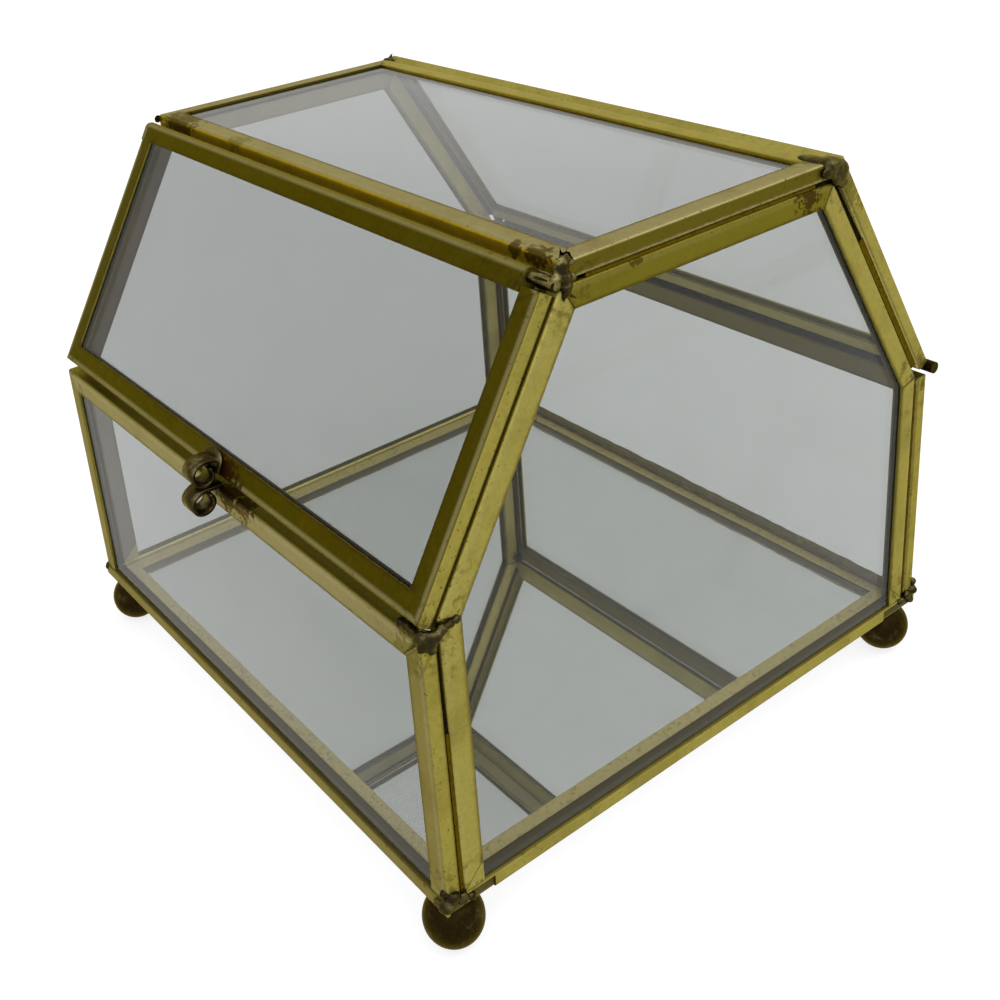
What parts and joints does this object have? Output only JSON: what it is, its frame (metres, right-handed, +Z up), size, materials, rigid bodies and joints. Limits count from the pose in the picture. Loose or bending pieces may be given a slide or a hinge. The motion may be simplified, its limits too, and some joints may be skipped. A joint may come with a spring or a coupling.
{
  "type": "glass casket box",
  "caption": "Hexagonal glass keepsake casket with brass-edged panes, a mirror floor, ball feet and a sloping front door hinged along its top edge.",
  "frame": {"origin": "middle of the footprint on the surface that the box stands on, catch and rear rod included", "axes": "+X along the length of the box, to the right as seen from the front; -Y towards the front with the door; +Z up"},
  "size_m": [0.1258, 0.1218, 0.1106],
  "materials": {
    "brass": "aged and lightly tarnished brass",
    "door_brass": "darker tarnished brass",
    "bronze": "dark patinated brass",
    "solder": "dull grey soft solder",
    "clear_glass": "clear",
    "mirror": "silvered mirror glass"
  },
  "bodies": {
    "box": {"base_mirror": "mirror", "base_came": "brass", "front_glass": "clear_glass", "front_came": "brass", "rear_glass": "clear_glass", "rear_came": "brass", "left_glass": "clear_glass", "left_came": "brass", "right_glass": "clear_glass", "right_came": "brass", "roof_glass": "clear_glass", "roof_came": "brass", "rear_slope_glass": "clear_glass", "rear_slope_came": "brass", "hinge_pin": "bronze", "rear_waist_rod": "bronze", "wall_catch": "bronze", "foot_front_left": "bronze", "foot_front_right": "bronze", "foot_rear_left": "bronze", "foot_rear_right": "bronze", "foot_solder": "solder", "base_solder": "solder", "waist_solder": "solder", "roof_solder": "solder"},
    "door": {"door_glass": "clear_glass", "door_came": "door_brass", "door_catch": "bronze"}
  },
  "joints": [
    {"name": "door_hinge", "type": "hinge", "parent": "box", "child": "door", "pos_m": [0, -0.02859, 0.10513], "axis": [-1, 0, 0], "range_deg": [0, 155]}
  ]
}
